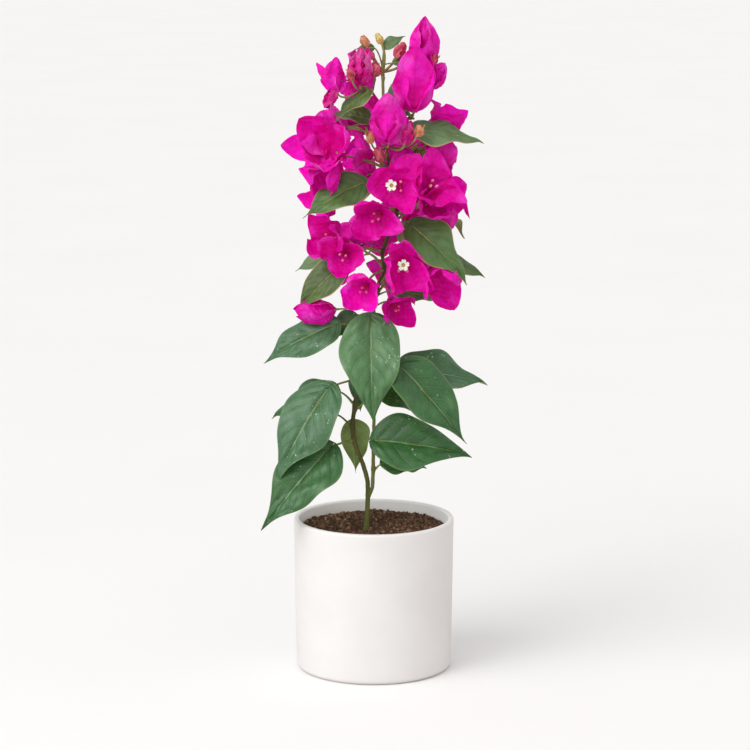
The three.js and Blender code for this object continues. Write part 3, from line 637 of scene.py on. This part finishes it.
class Tree:
    """A node tree: add makes a node and sets or links its inputs by name or number."""

    def __init__(self, tree, shader=None, material=None):
        self.tree, self.shader, self.material = tree, shader, material

    def add(self, kind, inputs=None, **settings):
        node = self.tree.nodes.new("ShaderNode" + kind)
        for key, value in settings.items():
            setattr(node, key, value)
        for key, value in (inputs or {}).items():
            if isinstance(value, bpy.types.NodeSocket):
                self.tree.links.new(value, node.inputs[key])
            else:
                node.inputs[key].default_value = value
        return node

    def give(self, node, **values):
        """Links values to a node's inputs, named with underscores for spaces."""
        for label, value in values.items():
            self.tree.links.new(value, node.inputs[label.replace("_", " ")])

    def math(self, operation, a, b=0, c=0):
        return self.add("Math", {0: a, 1: b, 2: c}, operation=operation).outputs[0]

    def times(self, a, b):
        return self.math("MULTIPLY", a, b)

    def plus(self, a, b):
        return self.math("ADD", a, b)

    def span(self, value, low, high, to_low=0, to_high=1):
        node = self.add("MapRange", {0: value, 1: low, 2: high, 3: to_low, 4: to_high},
                        interpolation_type="SMOOTHSTEP")
        return node.outputs[0]

    def finish(self, colour, rough, height, strength, distance):
        bump = self.add("Bump", {"Height": height, "Strength": strength, "Distance": distance}).outputs[0]
        self.give(self.shader, Base_Color=colour, Roughness=rough, Normal=bump)
        return self.material

    def mix(self, share, a, b):
        return self.add("Mix", {0: share, 6: a, 7: b}, data_type="RGBA").outputs[2]

    def place(self):
        return self.add("TexCoord").outputs["Object"]

    def noise(self, vector, scale, detail=3, rough=0.55, stretch=(1, 1, 1)):
        mapped = self.add("Mapping", {0: vector, 3: stretch}).outputs[0]
        return self.add("TexNoise", {"Vector": mapped, "Scale": scale, "Detail": detail,
                                     "Roughness": rough}).outputs[0]

    def cells(self, vector, scale, feature="F1"):
        return self.add("TexVoronoi", {"Vector": vector, "Scale": scale}, feature=feature).outputs[0]


def new_group(name, inputs, outputs):
    group = bpy.data.node_groups.new(name, "ShaderNodeTree")
    for label, value in inputs.items():
        group.interface.new_socket(label, in_out="INPUT", socket_type="NodeSocketFloat").default_value = value
    for label in outputs:
        group.interface.new_socket(label, in_out="OUTPUT", socket_type="NodeSocketFloat")
    return group, Tree(group), group.nodes.new("NodeGroupInput").outputs, group.nodes.new("NodeGroupOutput")


def make_venation():
    """Masks of the midrib, the side veins, where the slanted count of pairs is whole, the margin, a mesh of veinlets,
    painted shade in the grooves along midrib and side veins, and what lies towards margin and tip."""
    group, t, given, put = new_group("venation", {"Pairs": 7, "Slant": 0.2, "Mesh Scale": 16},
                                     ("Midrib", "Veins", "Margin", "Veinlets", "Outer", "Beside"))
    lie = t.add("UVMap", uv_map="lie").outputs[0]
    u, v, _ = t.add("SeparateXYZ", {0: lie}).outputs
    away = t.math("ABSOLUTE", t.math("MULTIPLY_ADD", v, 2, -1))
    lean = t.math("MULTIPLY_ADD", t.math("POWER", away, 2), 0.12, t.times(away, given["Slant"]))
    drift = t.math("MULTIPLY_ADD", t.noise(lie, 4, 1), 0.05, -0.025)
    phase = t.times(t.math("SUBTRACT", t.plus(u, drift), lean), given["Pairs"])
    off = t.math("PINGPONG", phase, 0.5)
    narrow = t.math("MULTIPLY_ADD", u, -0.014, 0.038)
    midrib = t.math("SUBTRACT", 1, t.span(t.math("DIVIDE", away, narrow), 0.45, 1.1))
    fade = t.span(away, 0.75, 0.98, 1, 0)
    # Painted shade: a mask along the side veins and the midrib, where the grooves would lie in shade.
    beside = t.math("MAXIMUM", t.times(t.span(off, 0.03, 0.3, 1, 0), fade), t.span(away, 0.03, 0.2, 1, 0))
    spread = t.add("CombineXYZ", {0: t.times(phase, 0.16), 1: t.times(v, 0.8), 2: 0}).outputs[0]
    mesh = t.cells(spread, given["Mesh Scale"], "DISTANCE_TO_EDGE")
    t.give(put, Midrib=midrib, Veins=t.times(t.span(off, 0.012, 0.07, 1, 0), fade), Beside=beside,
           Margin=t.span(away, 0.93, 0.985), Veinlets=t.span(mesh, 0, 0.09, 1, 0),
           Outer=t.math("MAXIMUM", t.span(away, 0.3, 0.95), t.span(u, 0.55, 0.95)))
    return group


def make_mottle():
    """A soft uneven tone and a fine grain, from the place on the object."""
    group, t, given, put = new_group("mottle", {"Patch Scale": 60, "Grain Scale": 900}, ("Patches", "Grain"))
    place = t.place()
    t.give(put, Patches=t.span(t.noise(place, given["Patch Scale"]), 0.32, 0.68),
           Grain=t.noise(place, given["Grain Scale"], 2))
    return group


VENATION, MOTTLE = make_venation(), make_mottle()


def new_material(name, **sockets):
    material = bpy.data.materials.new(name)
    material.use_nodes = True
    shader = material.node_tree.nodes["Principled BSDF"]
    for label, value in sockets.items():
        shader.inputs[label.replace("_", " ")].default_value = value
    return Tree(material.node_tree, shader, material)


def use(t, group, **values):
    return t.add("Group", {label.replace("_", " "): value for label, value in values.items()},
                 node_tree=group).outputs


def veined(t, colour, veins, vein, shares):
    for label, share in zip(("Veinlets", "Veins", "Midrib"), shares):
        colour = t.mix(t.times(veins[label], share), colour, vein)
    return colour


def relief(t, soft, veins, grain, sunk, mesh):
    height = t.plus(t.times(soft["Grain"], grain), t.times(veins["Veins"], -sunk))
    return t.plus(height, t.times(veins["Veinlets"], -mesh))


def leaf_skin(name, dark, light, vein, margin, margin_share, gloss, specks=0):
    """Two greens in patches, painted groove shade along the veins, paler midrib and veins, a coloured margin and fine
    specks.
    """
    t = new_material(name)
    veins = use(t, VENATION, Pairs=LEAF.pairs, Slant=LEAF.slant, Mesh_Scale=22)
    soft = use(t, MOTTLE, Patch_Scale=75, Grain_Scale=1400)
    tone = t.math("MULTIPLY_ADD", soft["Patches"], 0.5, 0.5)
    # Painted shade: the green darkens along the midrib and side veins, where their grooves would be in shade.
    colour = t.mix(t.math("SUBTRACT", tone, t.times(veins["Beside"], 0.26)), dark, light)
    colour = veined(t, colour, veins, vein, (0.08, 0.16, 0.62))
    if specks:
        place = t.place()
        drawn = t.add("Mapping", {0: place, 2: (0.4, 0.6, 0.3), 3: (1, 0.16, 1)}).outputs[0]
        dots = t.span(t.cells(place, 300), 0.06, 0.15, specks, 0)
        marks = t.span(t.cells(drawn, 240), 0.08, 0.17, specks, 0)
        thin = t.span(t.noise(place, 90, 2), 0.5, 0.64)
        colour = t.mix(t.times(t.math("MAXIMUM", dots, marks), thin), colour, srgb("cddecd"))
    colour = t.mix(t.times(veins["Margin"], margin_share), colour, margin)
    return t.finish(colour, t.span(soft["Grain"], 0.3, 0.7, gloss - 0.06, gloss + 0.1),
                    relief(t, soft, veins, 0.35, 0.6, 0.3), 0.45, 0.0003)


def bract_skin(name, deep, bright, vein, vein_share, glow, pale=None):
    """Two pinks in patches, painted glow paler towards margin and tip, darker veins, and light that passes into it."""
    t = new_material(name, Subsurface_Weight=glow, Subsurface_Radius=(1, 0.12, 0.5),
                     Subsurface_Scale=0.0025, Specular_IOR_Level=0.1)
    veins = use(t, VENATION, Pairs=BRACT.pairs, Slant=BRACT.slant, Mesh_Scale=15)
    soft = use(t, MOTTLE, Patch_Scale=90, Grain_Scale=1600)
    colour = t.mix(soft["Patches"], deep, bright)
    # Painted glow: paler pink in patches towards margin and tip, where light would pass through or glance off the
    # sheet.
    if pale:
        here = t.times(t.span(t.noise(t.place(), 55, 2), 0.48, 0.7), veins["Outer"])
        colour = t.mix(t.times(here, 0.75), colour, pale)
    colour = veined(t, colour, veins, vein, (0.35 * vein_share, 0.6 * vein_share, 0.8 * vein_share))
    return t.finish(colour, t.span(soft["Grain"], 0.3, 0.7, 0.5, 0.68), relief(t, soft, veins, 0.5, 0.8, 0.5),
                    0.5, 0.0004)


def stalk_skin(name, low, high, streak, rough=0.6):
    """Two tones in patches, drawn out along the height, with fine streaks."""
    t = new_material(name)
    place = t.place()
    patches = t.span(t.noise(place, 220, 3, 0.6, (1, 1, 0.25)), 0.35, 0.68)
    lines = t.noise(place, 1500, 3, 0.6, (1, 1, 0.12))
    colour = t.mix(t.span(lines, 0.5, 0.72, 0, 0.6), t.mix(patches, low, high), streak)
    return t.finish(colour, t.span(lines, 0.3, 0.7, rough - 0.08, rough + 0.12), lines, 0.6, 0.0004)


def bark_skin(name, *tones):
    """Olive near the soil, brown above the fork, green towards the tip, with cracks and cork."""
    t = new_material(name)
    place = t.place()
    height = t.add("SeparateXYZ", {0: place}).outputs[2]
    wander = t.math("MULTIPLY_ADD", t.noise(place, 40, 2), 0.05, height)
    patches = t.span(t.noise(place, 200, 3, 0.6, (1, 1, 0.2)), 0.38, 0.66)
    olive, brown, green = (t.mix(patches, *tones[i:i + 2]) for i in (0, 2, 4))
    crack, cork = tones[6:]
    colour = t.mix(t.span(wander, 0.165, 0.215), olive, brown)
    colour = t.mix(t.span(wander, 0.43, 0.485), colour, green)
    lines = t.noise(place, 1300, 4, 0.65, (1, 1, 0.1))
    colour = t.mix(t.span(lines, 0.52, 0.75, 0, 0.45), colour, crack)
    corky = t.span(t.noise(place, 900, 2), 0.66, 0.72)
    colour = t.mix(t.times(corky, 0.6), colour, cork)
    return t.finish(colour, t.span(lines, 0.3, 0.7, 0.55, 0.8), t.plus(lines, t.times(corky, 0.5)), 0.7, 0.0006)


def soil_skin(name, dark, light, scale):
    t = new_material(name, Specular_IOR_Level=0.25)
    soft = use(t, MOTTLE, Patch_Scale=scale, Grain_Scale=2200)
    return t.finish(t.mix(soft["Patches"], dark, light), t.span(soft["Grain"], 0.3, 0.7, 0.8, 0.98), soft["Grain"],
                    0.9, 0.0006)


def glaze_skin(name, dark, light):
    """A barely uneven satin white, with slow changes of gloss and fine pinholes."""
    t = new_material(name, Coat_Weight=0.12, Coat_Roughness=0.25)
    soft = use(t, MOTTLE, Patch_Scale=22, Grain_Scale=1500)
    return t.finish(t.mix(soft["Patches"], dark, light), t.span(soft["Patches"], 0, 1, 0.38, 0.5),
                    soft["Grain"], 0.08, 0.0003)


# Each skin's display colours, then its shares and levels, in the order its maker takes them.
SKINS = {
    leaf_skin: {
        "leaf_green": ("305c2f", "507c4c", "8ca87a", "809860", 0.3, 0.36, 0.85),
        "leaf_blue_green": ("26522d", "447049", "92ac84", "829a68", 0.3, 0.38, 0.85),
        "leaf_mid_green": ("1a4a1e", "376837", "84a06a", "7e9458", 0.3, 0.35, 0.75),
        "leaf_olive": ("2e4410", "50682e", "7c8e54", "ba9670", 0.8, 0.42),
        "leaf_fresh": ("3c5c2e", "628254", "889c68", "be9876", 0.75, 0.42),
        "leaf_moss": ("32541e", "54763e", "7c9054", "b69268", 0.8, 0.42),
        "leaf_underside": ("769246", "90a862", "96a262", "a09660", 0.4, 0.6),
    },
    # In the first five bract skins the last colour is a painted glow, paler towards margin and tip.
    bract_skin: {
        # The bright skin is a tone and also painted light: it is dealt out more often higher up, and the deep skin
        # lower down looks shaded.
        "bract_bright": ("fc04b0", "ff16ce", "c40078", 0.4, 0.4, "ff54da"),
        "bract_deep": ("da008e", "ee06a8", "a60062", 0.5, 0.35, "fa42ca"),
        "bract_outside": ("ec06a0", "fa1ebe", "be0078", 0.5, 0.35, "fc60d6"),
        "bract_rosy": ("e2008c", "f414a8", "960054", 0.9, 0.3, "fa68c4"),
        "bract_rosy_outside": ("de0886", "f03ca6", "960454", 0.9, 0.3, "f87cc4"),
        "bud_rose": ("d64a6a", "ec7884", "a42846", 0.7, 0.3),
        "bud_peach": ("e28c66", "f0b084", "ba6046", 0.6, 0.3),
        "bud_gold": ("deb866", "f0d48e", "b29246", 0.5, 0.3),
        "flower_tube_tip": ("f06ea0", "fa9eba", "e25a8c", 0.4, 0.3),
        "flower_white": ("f4f2ec", "faf9f6", "e4e6d2", 0.3, 0.25),
        "flower_throat": ("968e2c", "bab24e", "827a24", 0.5, 0.2),
    },
    stalk_skin: {
        "petiole_skin": ("687832", "88924c", "7e6234"),
        "twig_skin": ("7e843e", "a2a25c", "86603c"),
        "flower_tube_skin": ("c41868", "d84084", "962854", 0.5),
        "green_bark": ("545c20", "6e7430", "564222"),
    },
    bark_skin: {
        "stem_bark": ("4e5418", "6c702e", "3e3c10", "5a5420", "8e9e50", "aeb66c", "342c10", "a09270"),
    },
    glaze_skin: {
        "white_glaze": ("e5e4e3", "e9e8e7"),
        # A brighter copy of the white glaze: painted light for the pot's shaded inside.
        "inner_glaze": ("fbfaf9", "fdfcfc"),
    },
    soil_skin: {
        "soil_dark": ("402a1c", "624836", 260),
        "soil_mid": ("604634", "7c5e48", 300),
        "soil_light": ("82644c", "a48468", 300),
    },
}
skins = {name: make(name, *(srgb(value) if isinstance(value, str) else value for value in row))
         for make, rows in SKINS.items() for name, row in rows.items()}


# ---- pot and soil
def planter():
    """The pot's section, from the middle of its underside round its lip to its floor. A brighter copy of the glaze,
    painted light for the shaded inside, begins on the lip."""
    height, rim, foot, wall = POT.height, POT.rim, POT.foot, POT.wall
    floor, edge, lip = POT.floor, POT.edge, POT.lip
    shoulder = height - lip
    inner_floor = foot - wall + (rim - foot) * floor / height
    section = concatenate([
        [[0, 0], [20, 0], [foot - edge - 6, 0]],
        arc((foot - edge, edge), edge, -90, 0, 9),
        column_stack([linspace(foot, rim, 22)[1:-1], linspace(edge, shoulder, 22)[1:-1]]),
        arc((rim - lip, shoulder), lip, 0, 90, 8),
        arc((rim - wall + lip, shoulder), lip, 90, 180, 8),
        column_stack([linspace(rim - wall, inner_floor, 10)[1:], linspace(shoulder, floor, 10)[1:]]),
        [[0, floor]],
    ])
    sides, inner_ring, ripple = 192, 43, 0.12
    made = lathe(section, sides, ripple)
    # From the lip inward the second material is a brighter copy of the glaze: painted light for the shaded inside.
    made[3][:] = made[1].min(1) // sides >= inner_ring
    return made


def soil_height(x, y, seed=70):
    """The surface: slow humps, smaller lumps, and a slight heap round the stem's foot."""
    slow = 0.55 * ripples(x / 120, y / 120, seed, 5, (1.0, 3.0))
    lumps = 0.5 * ripples(x / 120, y / 120, seed + 90, 9, (7.0, 15.0))
    heap = 1.2 * exp(-(((x + 6) ** 2 + (y + 13) ** 2) / 160))
    return SOIL_TOP - 0.8 + slow + lumps + heap


def soil_bed():
    """A disc with the soil's surface, and a wall down to the pot's floor."""
    rings, sides, wall_top = 64, 200, 90.0
    bottom = POT.floor + CLEAR
    edge = POT.foot - POT.wall + (POT.rim - POT.foot) * SOIL_TOP / POT.height - CLEAR
    r = concatenate([linspace(0.8, edge, rings), [edge, edge - 1.6]])
    a = round_turn(sides)
    x, y = r[:, None] * cos(a), r[:, None] * sin(a)
    z = soil_height(x, y)
    z[-2:] = array([[wall_top], [bottom]])
    points = concatenate([stack([x, y, z], -1).reshape(-1, 3),
                          [[0, 0, soil_height(0.0, 0.0)], [0, 0, bottom]]])
    return block(points, capped(len(r), sides)[:, [0, 2, 1]], points[:, :2] / 100)


def crumbs(count, low, high, seed):
    """Twelve-point balls, squashed, dented and turned by chance, bedded in the surface; most are dark."""
    bed, sunk, tones = 59.0, 0.18, array([0.55, 0.9])
    rng = np.random.default_rng(seed)
    g = (1 + 5**0.5) / 2
    ball = unit(array([[-1, g, 0], [1, g, 0], [-1, -g, 0], [1, -g, 0], [0, -1, g], [0, 1, g], [0, -1, -g],
                       [0, 1, -g], [g, 0, -1], [g, 0, 1], [-g, 0, -1], [-g, 0, 1]], float))
    sides = array([[0, 11, 5], [0, 5, 1], [0, 1, 7], [0, 7, 10], [0, 10, 11], [1, 5, 9], [5, 11, 4], [11, 10, 2],
                   [10, 7, 6], [7, 1, 8], [3, 9, 4], [3, 4, 2], [3, 2, 6], [3, 6, 8], [3, 8, 9], [4, 9, 5],
                   [2, 4, 11], [6, 2, 10], [8, 6, 7], [9, 8, 1]])
    r = bed * sqrt(rng.random(count))
    a = 2 * pi * rng.random(count)
    x, y = r * cos(a), r * sin(a)
    size = low + (high - low) * rng.random(count) ** 2.2
    squash = 0.6 + 0.8 * rng.random((count, 3))
    lumps = ball[None] * (0.72 + 0.56 * rng.random((count, 12, 1))) * (size / 2)[:, None, None] * squash[:, None]
    turn = 2 * pi * rng.random(count)
    c, s = cos(turn)[:, None], sin(turn)[:, None]
    lumps = stack([lumps[..., 0] * c - lumps[..., 1] * s, lumps[..., 0] * s + lumps[..., 1] * c, lumps[..., 2]], -1)
    lumps += stack([x, y, soil_height(x, y) + size * sunk], -1)[:, None]
    faces = (sides[None] + 12 * arange(count)[:, None, None]).reshape(-1, 3)
    tone = np.repeat((rng.random(count)[:, None] > tones).sum(1), 20)
    points = lumps.reshape(-1, 3)
    return block(points, faces, points[:, :2] / 100, tone)


# ---- the pieces
def show(name, data):
    thing = bpy.data.objects.new(name, data)
    bpy.context.scene.collection.objects.link(thing)
    return thing


def make_piece(name, blocks, materials, slot, nodes=(), sharp=55):
    """One mesh piece in metres, smooth except where faces meet at more than the sharp angle."""
    starts = np.cumsum([0] + [len(b[0]) for b in blocks[:-1]])
    points = concatenate([b[0] for b in blocks]) * 0.001
    faces = concatenate([b[1] + s for b, s in zip(blocks, starts)]).astype(np.int32)
    lie = concatenate([b[2] for b in blocks])
    material = concatenate([b[3] for b in blocks]).astype(np.int32)
    mesh = bpy.data.meshes.new(name)
    mesh.from_pydata(points, [], faces)
    mesh.polygons.foreach_set("material_index", material)
    mesh.uv_layers.new(name="lie").data.foreach_set("uv", lie[faces.ravel()].ravel())
    mesh.shade_smooth()
    mesh.set_sharp_from_angle(angle=radians(sharp))
    for skin in materials.split():
        mesh.materials.append(skins[skin])
    piece = show(name, mesh)
    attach(piece, "root")
    if nodes:
        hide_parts(*nodes)


low_nodes = [f"leaf_{name}" for name, row in LEAVES.items() if row[1] <= LOW_TOP]
high_nodes = [f"leaf_{name}" for name, row in LEAVES.items() if row[1] > LOW_TOP]
for piece_row in (
    ("low_leaves", low_leaves, "leaf_green leaf_blue_green leaf_mid_green leaf_underside petiole_skin", "leaf",
     low_nodes),
    ("high_leaves", high_leaves, "leaf_olive leaf_fresh leaf_moss leaf_underside twig_skin", "leaf", high_nodes),
    ("bright_bracts", bright_bracts, "bract_bright bract_outside", "bract", [f"spray_{name}" for name in sprays]),
    ("deep_bracts", deep_bracts, "bract_deep bract_outside", "bract"),
    ("rosy_bracts", rosy_bracts, "bract_rosy bract_rosy_outside", "bract"),
    ("rose_buds", young_bracts[0], "bud_rose bud_rose", "bract"),
    ("peach_buds", young_bracts[1], "bud_peach bud_peach", "bract"),
    ("gold_buds", young_bracts[2], "bud_gold bud_gold", "bract"),
    ("flower_tubes", tubes, "flower_tube_skin flower_tube_tip", "bract"),
    ("flower_stars", stars, "flower_white flower_throat", "bract"),
    ("spray_twigs", twigs, "twig_skin", "bark"),
    ("bloom_stalks", stalks, "twig_skin", "bark"),
    ("main_bark", [main_bark], "stem_bark", "bark", ["main_stem"]),
    ("side_bark", [side_bark], "green_bark", "bark", ["side_stem"]),
    ("planter", [planter()], "white_glaze inner_glaze", "pot", ["pot"], 40),
    ("potting_mix", [soil_bed()], "soil_dark", "soil", ["soil"]),
    ("soil_crumbs", [crumbs(8800, 0.9, 3.2, 5)], "soil_dark soil_mid soil_light", "soil", (), 180),
):
    make_piece(*piece_row)


# ---- floor, light and camera
def lay_floor():
    """A floor that throws back less light than it shows, as a warm table would."""
    mesh = bpy.data.meshes.new("floor")
    side = 40.0
    mesh.from_pydata([(-side, -side, 0), (side, -side, 0), (side, side, 0), (-side, side, 0)], [], [(0, 1, 2, 3)])
    t = new_material("pale_floor", Roughness=0.9, Specular_IOR_Level=0.1)
    seen = t.mix(t.noise(t.place(), 3.0), srgb("f3f2f1"), srgb("f7f6f5"))
    looked_at = t.add("LightPath").outputs["Is Camera Ray"]
    t.give(t.shader, Base_Color=t.mix(looked_at, srgb("dcd6d3"), seen))
    mesh.materials.append(t.material)
    floor = show("floor", mesh)


def set_up(name, made, tilt, turn, place=(0, 0, 0)):
    thing = show(name, made)
    thing.location, thing.rotation_euler = place, (radians(tilt), 0, radians(turn))
    return thing


def add_light(name, kind, energy, spread, tilt, turn, colour, place=(0, 0, 0)):
    """A sun with its spread in degrees, or a square pane with its side in metres."""
    light = bpy.data.lights.new(name, kind)
    light.energy, light.color = energy, colour
    if kind == "SUN":
        light.angle = radians(spread)
    else:
        light.size = spread
    set_up(name, light, tilt, turn, place)


DAYLIGHT = (1.0, 0.998, 0.993)
lay_floor()
add_light("window_light", "SUN", 0.88, 40, 50, -58, DAYLIGHT)
add_light("low_window_light", "SUN", 0.75, 55, 68, -35, DAYLIGHT)
add_light("warm_bounce", "SUN", 0.3, 50, 84, 76, (1.0, 0.84, 0.76))
add_light("near_window", "AREA", 1.6, 0.5, 60, -33.7, DAYLIGHT, (-0.5, -0.75, 0.95))

# The sky lights the plant less than it shows behind it.
world = bpy.data.worlds.new("studio")
bpy.context.scene.world = world
world.use_nodes = True
sky = Tree(world.node_tree)
backdrop = world.node_tree.nodes["Background"]
backdrop.inputs["Color"].default_value = (1.0, 0.997, 0.994, 1)
sky.give(backdrop, Strength=sky.span(sky.add("LightPath").outputs["Is Camera Ray"], 0.0, 1.0, 0.74, 0.93))

camera = bpy.data.cameras.new("camera")
camera.sensor_width, camera.lens, camera.clip_end = 36, 133.39, 200
bpy.context.scene.camera = set_up("camera", camera, 90 - 10.455, 0, (0.001, -2.2, 0.6468))
bpy.context.scene.view_settings.view_transform = "Standard"
